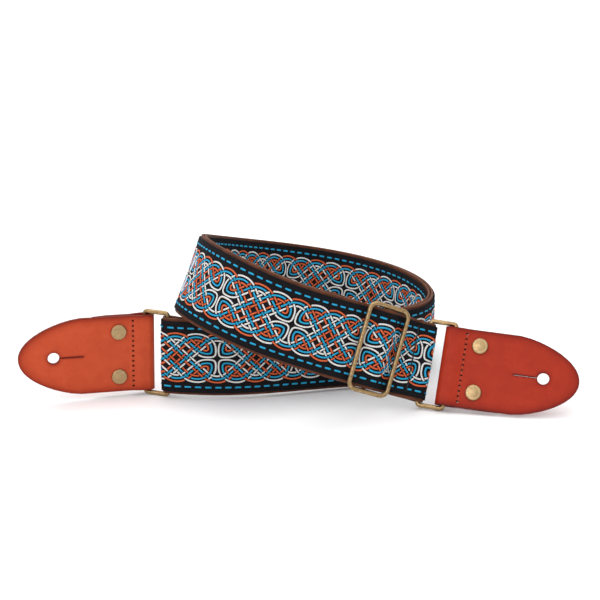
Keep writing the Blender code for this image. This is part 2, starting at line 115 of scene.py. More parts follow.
# How finely the band is meshed, how far its edges are rounded, and the sizes of all stitches
BAND_STEP = 1.5
RIBBON_END = 0.5
RIBBON_ROUNDING = 0.35
BACKING_ROUNDING = 0.5
CUT_EDGE_WIDTH = 0.45
BAND_STITCH_RADIUS = 0.42
TAB_STITCH_RADIUS = 0.4
TAB_STITCH_RISE = 0.35
STITCH_HOLE_REACH = 0.6

# The tabs, as in the CAD part
TAB_THICKNESS = 2.4
TAB_PLY_GAP = 0.4
FOLD_SLACK = 1.7
TAB_FOLD = WIRE_RADIUS + TOUCH_GAP + TAB_THICKNESS + FOLD_SLACK
TAB_LENGTH = 86.0
TAB_WIDTH = 49.4
TAB_TAPER = 39.0
TAB_TAPER_POWER = 1.45
BUTTON_HOLE_FROM_POINT = 22.0
BUTTON_HOLE_RADIUS = 3.7
SLIT_REACH = 14.5
SLIT_EDGE = 0.35
TAB_TURNS = {"left": (36.0, 0.0), "right": (0.0, 1.2)}
TAB_SEAM = 14.0
TAB_SEAM_HOLES = 14
TAB_SEAM_PITCH = 3.3
RIVET_FROM_FOLD = 23.0
RIVET_SPACING = 29.4
TAB_BEVEL = 0.6

# How far the darker burnish and painted shade reach from a tab's edge, and how fine wire and rivets are
# turned
BURNISH_AND_SHADE_WIDTH = 6.0
WIRE_SIDES = 20
RIVET_SIDES = 40

# The woven knotwork: bands of three strands in a plait, broken at each repeat by a four-armed cross
REPEAT = 47.2
PITCH = REPEAT / 4
STRAND_WIDTH = 1.05
STRAND_HEIGHT = 0.26
STRAND_SPACING = 2.1
CROSSING_GAP = 0.4
ARC_CENTRE = 4.4
ARC_RADIUS = (1.5 * PITCH - ARC_CENTRE) / math.sqrt(2)

# How far a diagonal leg runs past the ribbon's middle line, where it may cross another, and how many legs
# rise in one repeat
LEG_OVERRUN = 3.0
LEGS_IN_REPEAT = 12

# Half of each lobe beside a cross, as (along, across) from its cross's centre, for the three strand lines
LOBES = {
    1: ((2.3, 10.9), (1.3, 9.0), (0.85, 6.8), (0.8, 4.5), (1.15, 2.3)),
    0: ((4.2, 9.8), (3.45, 7.9), (3.1, 5.7), (3.4, 3.9)),
    -1: ((5.6, 8.3), (5.1, 6.9), (5.3, 5.7)),
}

# The dashes along both edges, as places across the ribbon and along its repeat
DASH_ROW = 19.3
DASH_LENGTH = 3.7
DASH_WIDTH = 1.15
TOP_DASH = 2.6
LOW_DASH = 0.8
DASH_COUNT = 8
DASH_PITCH = REPEAT / DASH_COUNT
DASH_TIP = 0.35

# The threads' sampling, how their floats narrow, and how close to the ribbon's ends they run
SAMPLE = 0.8
END_SAMPLE = 0.3
FLOAT_DIP = 0.12
END_SCALE = 0.55
RIBBON_MARGIN = 1.5

# Where a cross's centre lies on the inner layer and on the outer one, as (number of the repeat, s), and the
# numbers of those layers among the band's parts
INNER_PART = 2
OUTER_PART = 4
INNER_CROSSES = ((0, 359.0), (2, 264.4))
OUTER_CROSSES = ((8, 36.2), (18, 520.0), (19, 567.2))

CAMERA_PLACE = (0.0021, -1.0179, 0.3395)
CAMERA_TARGET = (0.0021, -0.0567, 0.0635)
CAMERA_LENS = 95.9

FLOOR_REACH = 8.0
LAMP_TARGET = (0, 0, 0.04)

# Each lamp's name, place, width in metres and power in watts
LAMPS = (("top_light", (-0.25, 0.35, 1.3), 0.8, 3.0), ("front_light", (-0.7, -1.3, 0.9), 0.9, 6.0))


# ---------------------------------------------------------------- the band's route

def ease(part):
    """A smooth step from 0 to 1."""
    part = np.clip(part, 0.0, 1.0)
    return part * part * (3 - 2 * part)


def make_route():
    """The route's points and its along, out and across vectors, one row for each step."""
    heading, pitch = math.radians(START_HEADING), math.radians(START_PITCH)
    level = math.cos(pitch)
    along = Vector((math.cos(heading) * level, math.sin(heading) * level, math.sin(pitch)))
    inward = Vector((-math.sin(heading), math.cos(heading), 0.0))
    across = along.cross(inward)
    point = Vector(ROUTE_START)
    rows = []
    for i in range(int(STRAP_LENGTH / ROUTE_STEP) + 1):
        rows.append((*point, *along, *-inward, *across))
        place = min((i + 0.5) * ROUTE_STEP / STRETCH, len(ROUTE) - 1.0)
        before = min(int(place), len(ROUTE) - 2)
        bend, twist = ROUTE[before] * (before + 1 - place) + ROUTE[before + 1] * (place - before)
        turn = along * float(twist) + across * float(bend)
        spin = Matrix.Rotation(turn.length * ROUTE_STEP, 3, turn.normalized())
        half = Matrix.Rotation(turn.length * ROUTE_STEP / 2, 3, turn.normalized())
        point += half @ along * ROUTE_STEP
        along, inward, across = spin @ along, spin @ inward, spin @ across
    return np.array(rows)


def route_at(s):
    """Points, along, out and across at the given s. Past either end the route runs on straight."""
    inside = np.clip(s, 0.0, STRAP_LENGTH)
    i = np.minimum((inside / ROUTE_STEP).astype(int), len(ROUTE_ROWS) - 2)
    part = (inside / ROUTE_STEP - i)[:, None]
    rows = ROUTE_ROWS[i] * (1 - part) + ROUTE_ROWS[i + 1] * part
    point, along, out, across = (rows[:, k:k + 3] for k in (0, 3, 6, 9))
    return point + along * (s - inside)[:, None], along, out, across


def bent(s, o, w):
    """The world place in mm of flat places (s, o, w), kept flat near the metal."""
    s, o, w = (np.asarray(v, float) for v in (s, o, w))
    point, _, out, across = route_at(s)
    place = point + out * o[:, None] + across * w[:, None]
    for centre, reach in STIFF_PLACES:
        middle, along, out, across = route_at(np.array([centre]))
        flat = middle + along * (s - centre)[:, None] + out * o[:, None] + across * w[:, None]
        free = ease((np.abs(s - centre) - reach) / STIFF_RELEASE)[:, None]
        place = flat * (1 - free) + place * free
    return place


def layer_line(levels, step=1.5):
    """Points (s, o) through the given ones, eased where the level changes."""
    points = [levels[0]]
    for (s0, o0), (s1, o1) in zip(levels, levels[1:]):
        count = max(2, round((s1 - s0) / (step if o0 == o1 else step / 2)))
        for part in np.linspace(0, 1, count + 1)[1:]:
            points.append((s0 + (s1 - s0) * part, o0 + (o1 - o0) * float(ease(part))))
    return points


def half_turn(s, o, radius, first_angle, steps=16):
    """Points round a bar, turning clockwise through half a circle."""
    angles = np.radians(first_angle - 180 * np.arange(1, steps) / steps)
    return [(s + radius * math.cos(a), o + radius * math.sin(a)) for a in angles]


def band_parts():
    """The tail, slider turn, inner layer, left turn, outer layer, right turn and end tail, in order."""
    turn = WIRE_RADIUS + TOUCH_GAP + BACKING_THICKNESS / 2
    slim = CENTRE_BAR_RADIUS + TOUCH_GAP + BACKING_THICKNESS / 2
    lower = SEWN_LEVEL - BACKING_THICKNESS - LAYER_GAP
    s, o = SLIDER_S, CENTRE_BAR_O
    tail = layer_line([(s - SLIDER_TAIL, SEWN_LEVEL), (s - SEWN_FLAT, SEWN_LEVEL),
                       (s - HUMP_TOP, o + slim)])
    inner = layer_line([(LEFT_BAR_S, -turn), (LEFT_BAR_S + LEFT_LOOP, -OUTER_LEVEL),
                        (s - DROP_START, -OUTER_LEVEL), (s - DROP_END, lower), (s - SEWN_FLAT, lower),
                        (s, o - slim)])
    outer = layer_line([(LEFT_BAR_S, turn), (LEFT_BAR_S + LEFT_LOOP, OUTER_LEVEL),
                        (s - HUMP_START, OUTER_LEVEL), (s - HUMP_TOP, HUMP_LEVEL), (s + HUMP_TOP, HUMP_LEVEL),
                        (s + HUMP_START, OUTER_LEVEL), (RIGHT_BAR_S - RIGHT_LOOP, OUTER_LEVEL),
                        (RIGHT_BAR_S, turn)])
    end_tail = layer_line([(STRAP_LENGTH - RING_TAIL, -OUTER_LEVEL),
                           (RIGHT_BAR_S - RIGHT_LOOP, -OUTER_LEVEL), (RIGHT_BAR_S, -turn)])
    return (tail, half_turn(s, o, slim, 90), inner[::-1], half_turn(LEFT_BAR_S, 0, turn, 270), outer,
            half_turn(RIGHT_BAR_S, 0, turn, 90), end_tail[::-1])


ROUTE_ROWS = make_route()
BAND_PARTS = band_parts()
BAND_LINE = np.array([p for part in BAND_PARTS for p in part])
BAND_LENGTHS = np.concatenate([[0], np.cumsum(np.hypot(*np.diff(BAND_LINE, axis=0).T))])
BAND_RUN = np.gradient(BAND_LINE, BAND_LENGTHS, axis=0)
BAND_RUN /= np.hypot(*BAND_RUN.T)[:, None]
BAND_LENGTH = BAND_LENGTHS[-1]


def on_band(length, w, height):
    """World places in metres of places on the band, given by length along it, w and height."""
    s, o, run, rise = (np.interp(length, BAND_LENGTHS, v) for v in (*BAND_LINE.T, *BAND_RUN.T))
    return bent(s - rise * height, o + run * height, w) * MM


def length_at(s, part):
    """How far along the band a place s of its inner or outer part lies."""
    start = sum(len(p) for p in BAND_PARTS[:part])
    stop = start + len(BAND_PARTS[part])
    line, lengths = BAND_LINE[start:stop, 0], BAND_LENGTHS[start:stop]
    order = np.argsort(line)
    return float(np.interp(s, line[order], lengths[order]))


# ---------------------------------------------------------------- meshes

def link(name, mesh, materials, body, replaces=(), smooth=60):
    """Links a mesh as a piece of the model, shaded smooth, riding on a body."""
    for material in materials:
        mesh.materials.append(material)
    mesh.shade_smooth()
    mesh.set_sharp_from_angle(angle=math.radians(smooth))
    piece = bpy.data.objects.new(name, mesh)
    bpy.context.scene.collection.objects.link(piece)
    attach(piece, body)
    if replaces:
        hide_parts(*replaces)
    return piece


def mesh_of(name, points, faces, uv=None):
    """A mesh from points in metres, with a texture place in mm for each point."""
    mesh = bpy.data.meshes.new(name)
    mesh.from_pydata(np.asarray(points).tolist(), [], [tuple(f) for f in faces])
    if uv is not None:
        layer = mesh.uv_layers.new(name="place")
        corners = np.zeros(len(mesh.loops), int)
        mesh.loops.foreach_get("vertex_index", corners)
        layer.data.foreach_set("uv", np.asarray(uv, float)[corners].ravel())
    return mesh


def loft_faces(rings, size, closed=False, first=0):
    """The faces of a solid through rings of points, closed on itself or capped at both ends."""
    faces = []
    for i in range(rings if closed else rings - 1):
        a, b = first + i * size, first + ((i + 1) % rings) * size
        faces += [(a + k, a + (k + 1) % size, b + (k + 1) % size, b + k) for k in range(size)]
    if not closed:
        last = first + (rings - 1) * size
        faces += [tuple(range(first + size - 1, first - 1, -1)), tuple(range(last, last + size))]
    return faces


def band_slab(name, profile, margin=0.0):
    """A solid along the band, with a closed profile of (w, height) points, short of both ends by a margin."""
    lengths = np.arange(margin, BAND_LENGTH - margin, BAND_STEP)
    w, height = np.array(profile).T
    girth = np.cumsum(np.hypot(np.diff(w, prepend=w[0]), np.diff(height, prepend=height[0])))
    grid = [np.repeat(lengths, len(w)), np.tile(w, len(lengths)), np.tile(height, len(lengths))]
    uv = np.stack([grid[0], np.tile(girth, len(lengths))], 1)
    return mesh_of(name, on_band(*grid), loft_faces(len(lengths), len(w)), uv)


def slab_profile(half_width, low, high, radius, columns=10, corner=3):
    """A rounded rectangle across the band, going round from its lower left corner."""
    profile = []
    for start, cw, ch in ((180, -1, low), (270, 1, low), (0, 1, high), (90, -1, high)):
        w0 = cw * (half_width - radius)
        h0 = ch + (radius if ch == low else -radius)
        for a in np.radians(np.linspace(start, start + 90, corner + 1)):
            profile.append((w0 + radius * math.cos(a), h0 + radius * math.sin(a)))
        if start in (270, 90):
            continue
        for part in np.arange(1, columns) / columns:
            profile.append((w0 * (1 - 2 * part), ch))
    return profile


def tube(path, radius, sides, closed=False):
    """Points and faces of a round wire along a path of Vectors."""
    points = []
    side = None
    count = len(path)
    for i, p in enumerate(path):
        before = path[i - 1] if i or closed else p
        after = path[(i + 1) % count] if i + 1 < count or closed else p
        along = (after - before).normalized()
        side = along.orthogonal() if side is None else side
        side = (side - along * side.dot(along)).normalized()
        other = along.cross(side)
        for angle in np.arange(sides) * 2 * math.pi / sides:
            points.append(p + (side * math.cos(angle) + other * math.sin(angle)) * radius)
    return points, loft_faces(count, sides, closed)


def rounded_rectangle(length, width, radius, steps=10):
    """A closed path in the x, z plane with round corners."""
    points = []
    for quarter, (sx, sz) in enumerate(((1, 1), (-1, 1), (-1, -1), (1, -1))):
        cx, cz = sx * (length / 2 - radius), sz * (width / 2 - radius)
        for a in np.radians(90 * quarter + np.linspace(0, 90, steps + 1)):
            points.append(Vector((cx + radius * math.cos(a), 0, cz + radius * math.sin(a))))
    return points


def turned(profile, sides):
    """Points and faces of a solid turned round y, from (radius, y) points between two on the axis."""
    points = [Vector((0, profile[0][1], 0))]
    for radius, y in profile[1:-1]:
        points += [Vector((radius * math.cos(a), y, radius * math.sin(a)))
                   for a in np.arange(sides) * 2 * math.pi / sides]
    points.append(Vector((0, profile[-1][1], 0)))
    rings = len(profile) - 2
    faces = [(0, 1 + k, 1 + (k + 1) % sides) for k in range(sides)]
    for i in range(rings - 1):
        a, b = 1 + i * sides, 1 + (i + 1) * sides
        faces += [(a + k, b + k, b + (k + 1) % sides, a + (k + 1) % sides) for k in range(sides)]
    last, end = len(points) - 1, 1 + (rings - 1) * sides
    faces += [(last, end + (k + 1) % sides, end + k) for k in range(sides)]
    return points, faces


def outward(mesh):
    """Turns a closed mesh's faces outward if they face in."""
    volume = 0.0
    mesh.calc_loop_triangles()
    for t in mesh.loop_triangles:
        a, b, c = (mesh.vertices[v].co for v in t.vertices)
        volume += a.dot(b.cross(c))
    if volume < 0:
        mesh.flip_normals()
    return mesh


# ---------------------------------------------------------------- materials

def principled(name, colour, roughness, metallic=0.0):
    """A material with one Principled shader. Returns it with its node tree and shader."""
    material = bpy.data.materials.new(name)
    material.use_nodes = True
    tree = material.node_tree
    shader = tree.nodes["Principled BSDF"]
    shader.inputs["Base Color"].default_value = (*colour, 1)
    shader.inputs["Roughness"].default_value = roughness
    shader.inputs["Metallic"].default_value = metallic
    return material, tree, shader


def texture(tree, kind, source, scale, **settings):
    """A texture node fed by a coordinate output, scaled."""
    place = tree.nodes.get("place") or tree.nodes.new("ShaderNodeTexCoord")
    place.name = "place"
    scaled = tree.nodes.new("ShaderNodeVectorMath")
    scaled.operation = "MULTIPLY"
    scaled.inputs[1].default_value = scale if hasattr(scale, "__len__") else (scale, scale, scale)
    tree.links.new(place.outputs[source], scaled.inputs[0])
    node = tree.nodes.new("ShaderNodeTex" + kind)
    for key, value in settings.items():
        if key in node.inputs:
            node.inputs[key].default_value = value
        else:
            setattr(node, key, value)
    tree.links.new(scaled.outputs[0], node.inputs["Vector"])
    return node


def ramp(tree, factor, stops):
    """A colour ramp over a factor. Each stop is (position, colour)."""
    node = tree.nodes.new("ShaderNodeValToRGB")
    elements = node.color_ramp.elements
    for element, (position, colour) in zip(elements, (stops[0], stops[-1])):
        element.position = position
        element.color = (*colour, 1)
    for position, colour in stops[1:-1]:
        elements.new(position).color = (*colour, 1)
    tree.links.new(factor, node.inputs["Fac"])
    return node.outputs["Color"]


def blend_colours(tree, kind, factor, a, b):
    """A colour mix of two colour outputs."""
    node = tree.nodes.new("ShaderNodeMix")
    node.data_type = "RGBA"
    node.blend_type = kind
    node.inputs["Factor"].default_value = factor
    tree.links.new(a, node.inputs["A"])
    tree.links.new(b, node.inputs["B"])
    return node.outputs["Result"]


def bump(tree, shader, height, distance, strength=1.0):
    """Adds bump to a shader from a height output, on top of any bump that it has."""
    node = tree.nodes.new("ShaderNodeBump")
    node.inputs["Distance"].default_value = distance
    node.inputs["Strength"].default_value = strength
    tree.links.new(height, node.inputs["Height"])
    if shader.inputs["Normal"].is_linked:
        tree.links.new(shader.inputs["Normal"].links[0].from_socket, node.inputs["Normal"])
    tree.links.new(node.outputs["Normal"], shader.inputs["Normal"])


def twill_material():
    """The ribbon's black ground: a fine diagonal twill, its grooves painted darker as shade, with a few
    lighter fibres.
    """
    material, tree, shader = principled("ribbon_twill", (0.012, 0.012, 0.015), 0.85)
    shader.inputs["Specular IOR Level"].default_value = 0.08
    rib = texture(tree, "Wave", "UV", (0.38, 0.72, 1), bands_direction="DIAGONAL", Distortion=0.8,
                  **{"Detail Scale": 3.0})
    fibre = texture(tree, "Noise", "UV", (1.6, 3.2, 1), Detail=4.0, Roughness=0.7)
    # The darker stop paints shade into the twill's grooves
    ground = ramp(tree, rib.outputs["Fac"],
                  ((0.25, (0.006, 0.006, 0.007)), (0.8, (0.024, 0.023, 0.026))))
    flecks = ramp(tree, fibre.outputs["Fac"], ((0.45, (0.5, 0.5, 0.5)), (0.75, (1.6, 1.55, 1.8))))
    tree.links.new(blend_colours(tree, "MULTIPLY", 1.0, ground, flecks), shader.inputs["Base Color"])
    bump(tree, shader, rib.outputs["Fac"], 0.00012, 0.8)
    return material


def strand_material(name, light, dark):
    """Woven thread: bright floats crossed by fine grooves painted darker as shade."""
    material, tree, shader = principled(name, light, 0.6)
    shader.inputs["Specular IOR Level"].default_value = 0.2
    rib = texture(tree, "Wave", "UV", (0.5, 0.3, 1), bands_direction="DIAGONAL", Distortion=0.6)
    fibre = texture(tree, "Noise", "UV", (2.0, 5.0, 1), Detail=3.0)
    # The darker stop paints shade into the grooves between the fibres
    thread = ramp(tree, rib.outputs["Fac"], ((0.08, dark), (0.5, light), (1.0, light)))
    shade = ramp(tree, fibre.outputs["Fac"], ((0.3, (0.8, 0.8, 0.8)), (0.7, (1.06, 1.06, 1.06))))
    tree.links.new(blend_colours(tree, "MULTIPLY", 1.0, thread, shade), shader.inputs["Base Color"])
    bump(tree, shader, rib.outputs["Fac"], 0.00012, 0.7)
    return material


def arithmetic(tree, kind, *values):
    """The output of a math node over outputs or plain numbers."""
    node = tree.nodes.new("ShaderNodeMath")
    node.operation = kind
    for socket, value in zip(node.inputs, values):
        if isinstance(value, (int, float)):
            socket.default_value = value
        else:
            tree.links.new(value, socket)
    return node.outputs[0]


def distance(tree, a, b):
    """The length of the hypotenuse over two outputs that aren't negative."""
    squares = (arithmetic(tree, "POWER", side, 2) for side in (a, b))
    return arithmetic(tree, "SQRT", arithmetic(tree, "ADD", *squares))


def room_to_edge(tree):
    """How far a point of a tab lies from the tab's outline, its button hole or its slit, in mm.

    The UV map holds the point's flat place: u along the tab from its fold, v across from its middle line.
    The hole counts as twice as far and the slit as four times, so their darkening is narrower; round the slit
    it is painted shade.
    """
    def calc(kind, *values):
        return arithmetic(tree, kind, *values)

    split = tree.nodes.new("ShaderNodeSeparateXYZ")
    tree.links.new(tree.nodes["place"].outputs["UV"], split.inputs[0])
    u, v = split.outputs["X"], calc("ABSOLUTE", split.outputs["Y"])

    # The room beside the point, across the tab, and ahead of it, towards the tab's rounded point
    straight = TAB_LENGTH - TAB_TAPER
    taper = calc("DIVIDE", calc("SUBTRACT", u, straight), TAB_TAPER)
    taper = calc("MINIMUM", calc("MAXIMUM", taper, 0), 1)
    share = calc("SUBTRACT", 1, calc("POWER", taper, TAB_TAPER_POWER))
    half_width = calc("MULTIPLY", calc("SQRT", share), TAB_WIDTH / 2)
    beside = calc("MAXIMUM", calc("SUBTRACT", half_width, v), 0.01)
    part = calc("MINIMUM", calc("DIVIDE", v, TAB_WIDTH / 2), 1)
    share = calc("SUBTRACT", 1, calc("POWER", part, 2))
    reach = calc("MULTIPLY", calc("POWER", share, 1 / TAB_TAPER_POWER), TAB_TAPER)
    ahead = calc("MAXIMUM", calc("SUBTRACT", calc("ADD", reach, straight), u), 0.01)
    outline = calc("DIVIDE", calc("MULTIPLY", beside, ahead), distance(tree, beside, ahead))

    hole_at = TAB_LENGTH - BUTTON_HOLE_FROM_POINT
    from_centre = distance(tree, calc("ABSOLUTE", calc("SUBTRACT", u, hole_at)), v)
    hole = calc("MULTIPLY", calc("SUBTRACT", from_centre, BUTTON_HOLE_RADIUS), 2)

    # The darkening round the slit is painted shade, standing in for the shade inside the narrow cut
    slit_middle = hole_at - BUTTON_HOLE_RADIUS - SLIT_REACH / 2
    along = calc("ABSOLUTE", calc("SUBTRACT", u, slit_middle))
    beyond = calc("MAXIMUM", calc("SUBTRACT", along, SLIT_REACH / 2), 0)
    from_slit = calc("SUBTRACT", distance(tree, beyond, v), SLIT_EDGE)
    slit = calc("MULTIPLY", calc("MAXIMUM", from_slit, 0), 4)
    return calc("MINIMUM", calc("MINIMUM", outline, hole), slit)


def leather_material(name, light, dark, roughness, grain=1.0, burnished=False):
    """Leather: broad mottling, fine pores and creased grain. Burnished, it is darker near edges and holes,
    partly as burnish and partly as painted shade, and round the slit as painted shade.
    """
    material, tree, shader = principled(name, light, roughness)
    shader.inputs["Specular IOR Level"].default_value = 0.14
    broad = texture(tree, "Noise", "Object", 28.0, Detail=6.0, Roughness=0.6, Distortion=0.4)
    fine = texture(tree, "Noise", "Object", 420.0, Detail=5.0, Roughness=0.65)
    cells = texture(tree, "Voronoi", "Object", 900.0, feature="DISTANCE_TO_EDGE")
    tone = ramp(tree, broad.outputs["Fac"], ((0.28, dark), (0.62, light)))
    speck = ramp(tree, fine.outputs["Fac"], ((0.3, (0.86, 0.86, 0.86)), (0.7, (1.06, 1.06, 1.06))))
    colour = blend_colours(tree, "MULTIPLY", 0.8, tone, speck)
    if burnished:
        # Darker towards the edges and holes: partly burnish, partly painted shade; round the slit, painted
        # shade
        near = arithmetic(tree, "DIVIDE", room_to_edge(tree), BURNISH_AND_SHADE_WIDTH)
        edge = ramp(tree, near, ((0.0, (0.36, 0.2, 0.18)), (0.15, (0.62, 0.44, 0.4)),
                                 (0.5, (0.88, 0.8, 0.78)), (1.0, (1, 1, 1))))
        colour = blend_colours(tree, "MULTIPLY", 1.0, colour, edge)
    tree.links.new(colour, shader.inputs["Base Color"])
    bump(tree, shader, fine.outputs["Fac"], 0.00016 * grain, 0.5)
    bump(tree, shader, cells.outputs["Distance"], 0.00025 * grain, 0.25)
    return material


def edge_material(name, light, dark):
    """A cut leather edge, with layered fibres running along it."""
    material, tree, shader = principled(name, light, 0.7)
    shader.inputs["Specular IOR Level"].default_value = 0.2
    fibre = texture(tree, "Noise", "Object", 900.0, Detail=4.0, Roughness=0.7)
    broad = texture(tree, "Noise", "Object", 60.0, Detail=3.0)
    tone = ramp(tree, fibre.outputs["Fac"], ((0.35, dark), (0.65, light)))
    shade = ramp(tree, broad.outputs["Fac"], ((0.35, (0.7, 0.7, 0.7)), (0.65, (1.1, 1.1, 1.1))))
    tree.links.new(blend_colours(tree, "MULTIPLY", 0.8, tone, shade), shader.inputs["Base Color"])
    bump(tree, shader, fibre.outputs["Fac"], 0.0002, 0.5)
    return material


def brass_material(name, dark, middle, light):
    """Antique brass: brushed, with darker tarnish in patches."""
    material, tree, shader = principled(name, middle, 0.34, 1.0)
    broad = texture(tree, "Noise", "Object", 160.0, Detail=5.0, Roughness=0.65)
    fine = texture(tree, "Noise", "Object", 1400.0, Detail=3.0)
    tone = ramp(tree, broad.outputs["Fac"], ((0.3, dark), (0.52, middle), (0.75, light)))
    rough = tree.nodes.new("ShaderNodeMapRange")
    rough.inputs["From Min"].default_value = 0.3
    rough.inputs["From Max"].default_value = 0.7
    rough.inputs["To Min"].default_value = 0.46
    rough.inputs["To Max"].default_value = 0.27
    tree.links.new(broad.outputs["Fac"], rough.inputs["Value"])
    tree.links.new(rough.outputs["Result"], shader.inputs["Roughness"])
    tree.links.new(tone, shader.inputs["Base Color"])
    bump(tree, shader, fine.outputs["Fac"], 0.00008, 0.4)
    return material


def thread_material(name, colour):
    """Waxed sewing thread with a twist, its grooves painted darker as shade."""
    material, tree, shader = principled(name, colour, 0.6)
    twist = texture(tree, "Wave", "Object", (700, 700, 500), bands_direction="DIAGONAL")
    # Painted shade in the twist's grooves
    dark = tuple(c * 0.45 for c in colour)
    tone = ramp(tree, twist.outputs["Fac"], ((0.1, dark), (0.6, colour)))
    tree.links.new(tone, shader.inputs["Base Color"])
    bump(tree, shader, twist.outputs["Fac"], 0.0001, 0.6)
    return material


# ---------------------------------------------------------------- the knotwork

def arc_run(apex, side, rising):
    """Half of a border arc with its diagonal leg, from w = 0 to the apex. It starts a little below 0."""
    radius = ARC_RADIUS + side * STRAND_SPACING
    leg = radius * math.sqrt(2) + ARC_CENTRE
    angles = np.radians(np.linspace(135, 90, 12))
    arc = np.stack([radius * np.cos(angles), ARC_CENTRE + radius * np.sin(angles)], 1)
    run = np.concatenate([[(-leg - LEG_OVERRUN, -LEG_OVERRUN)], arc])
    if not rising:
        run[:, 0] *= -1
    run[:, 0] += apex
    return run


def arc_index(apex, side, rising):
    """The number of a diagonal strand, counted along the ribbon over its three-stranded bands."""
    band = round(apex / PITCH)
    return 3 * (band - 2) + 1 - side if rising else 3 * (band + 1) + 1 + side


def smooth_through(points, steps=5):
    """A smooth curve through a few points."""
    p = np.concatenate([[2 * points[0] - points[1]], points, [2 * points[-1] - points[-2]]])
    curve = []
    for a, b, c, d in zip(p, p[1:], p[2:], p[3:]):
        for t in np.arange(steps) / steps:
            curve.append(0.5 * (2 * b + (c - a) * t + (2 * a - 5 * b + 4 * c - d) * t * t
                                + (3 * b - a - 3 * c + d) * t ** 3))
    return np.array(curve + [points[-1]])


def lobe_run(side):
    """Half of a lobe beside the cross at 0: from the first arc's tangent point to the lobe's corner."""
    radius = ARC_RADIUS + side * STRAND_SPACING
    tangent = (PITCH - radius / math.sqrt(2), ARC_CENTRE + radius / math.sqrt(2))
    half = np.array([tangent, *LOBES[side]])
    both = smooth_through(np.concatenate([half, half[::-1, ::-1]]))
    return both[:len(both) // 2 + 1]


def top_strands():
    """The strands of one repeat's upper half, as (colour, points, runs).

    A run is a diagonal stretch of a strand: its first and last point, whether it rises, and its index.
    """
    strands = []
    for side, colour in ((1, "orange"), (0, "turquoise"), (-1, "white")):
        up, down = arc_run(0, side, True), arc_run(0, side, False)[::-1]
        runs = [(0, len(up) - 1, True, arc_index(0, side, True)),
                (len(up) - 1, len(up) + len(down) - 2, False, arc_index(0, side, False))]
        strands.append((colour, np.concatenate([up, down[1:]]), runs))
    for side, colour in ((1, "white"), (0, "turquoise"), (-1, "orange")):
        legs = [(arc_run(PITCH, side, False), False, arc_index(PITCH, side, False)),
                (np.concatenate([arc_run(PITCH, side, True)[:0:-1], lobe_run(side)[1:]]), True,
                 arc_index(PITCH, side, True)),
                (np.concatenate([lobe_run(side)[::-1, ::-1], arc_run(2 * PITCH, -side, True)[1:]]), True,
                 arc_index(2 * PITCH, -side, True))]
        legs += [(np.array([REPEAT, 0]) + leg[::-1] * np.array([-1, 1]), not rising, None)
                 for leg, rising, _ in legs[::-1]]
        numbers = [arc_index(2 * PITCH, -side, False), arc_index(3 * PITCH, side, False),
                   arc_index(3 * PITCH, side, True)]
        points, runs = [legs[0][0][0]], []
        for leg, (line, rising, index) in enumerate(legs):
            first = len(points) - 1
            points += list(line[1:])
            runs.append((first, len(points) - 1, rising, numbers[leg - 3] if index is None else index))
        strands.append((colour, np.array(points), runs))
    return strands


def crossings(a, b):
    """Where two lines cross: a point number with a part along each, and the sine of the angle between."""
    p, r = a[:-1, None], np.diff(a, axis=0)[:, None]
    q, t = b[None, :-1], np.diff(b, axis=0)[None]
    cross = r[..., 0] * t[..., 1] - r[..., 1] * t[..., 0]
    safe = np.where(np.abs(cross) < 1e-9, 1.0, cross)
    gap = q - p
    along_a = (gap[..., 0] * t[..., 1] - gap[..., 1] * t[..., 0]) / safe
    along_b = (gap[..., 0] * r[..., 1] - gap[..., 1] * r[..., 0]) / safe
    hit = (np.abs(cross) > 1e-9) & (along_a >= 0) & (along_a < 1) & (along_b >= 0) & (along_b < 1)
    reach = np.hypot(r[..., 0], r[..., 1]) * np.hypot(t[..., 0], t[..., 1])
    sine = np.abs(cross) / np.maximum(reach, 1e-9)
    return [(i + along_a[i, j], j + along_b[i, j], sine[i, j]) for i, j in zip(*np.nonzero(hit))]


def visible_stretches(strands):
    """Where each strand shows, as (colour, points, lengths, from, to, upper).

    A strand goes under each second one that it crosses, and it isn't seen there. The lower half's strands are
    the upper half's mirrored, with over and under exchanged.
    """
    marks = [[] for _ in strands]
    for n, (_, line_a, runs_a) in enumerate(strands):
        for m, (_, line_b, runs_b) in enumerate(strands):
            for shift in range(-2, 3):
                for first_a, last_a, rising_a, index_a in runs_a:
                    for first_b, last_b, rising_b, index_b in runs_b:
                        if not rising_a or rising_b:
                            continue
                        moved = line_b[first_b:last_b + 1] + np.array([REPEAT * shift, 0])
                        even = (index_a + index_b + LEGS_IN_REPEAT * shift) % 2 == 0
                        for at_a, at_b, sine in crossings(line_a[first_a:last_a + 1], moved):
                            reach = (STRAND_WIDTH / 2 + CROSSING_GAP) / max(sine, 0.5)
                            marks[n].append((first_a + at_a, reach, even))
                            marks[m].append((first_b + at_b, reach, not even))
    stretches = []
    for (colour, line, _), crossed in zip(strands, marks):
        lengths = np.concatenate([[0], np.cumsum(np.hypot(*np.diff(line, axis=0).T))])
        numbers = np.arange(len(line))
        start = LEG_OVERRUN * math.sqrt(2)
        stop = lengths[-1] - start
        for upper in (True, False):
            hidden = sorted((float(np.interp(at, numbers, lengths)), reach)
                            for at, reach, under in crossed if under == upper)
            place = start
            for middle, reach in [*hidden, (stop + 1, 1)]:
                end = min(middle - reach, stop)
                if end - place > 0.5:
                    stretches.append((colour, line, lengths, place, end, upper))
                place = max(place, middle + reach)
    return stretches


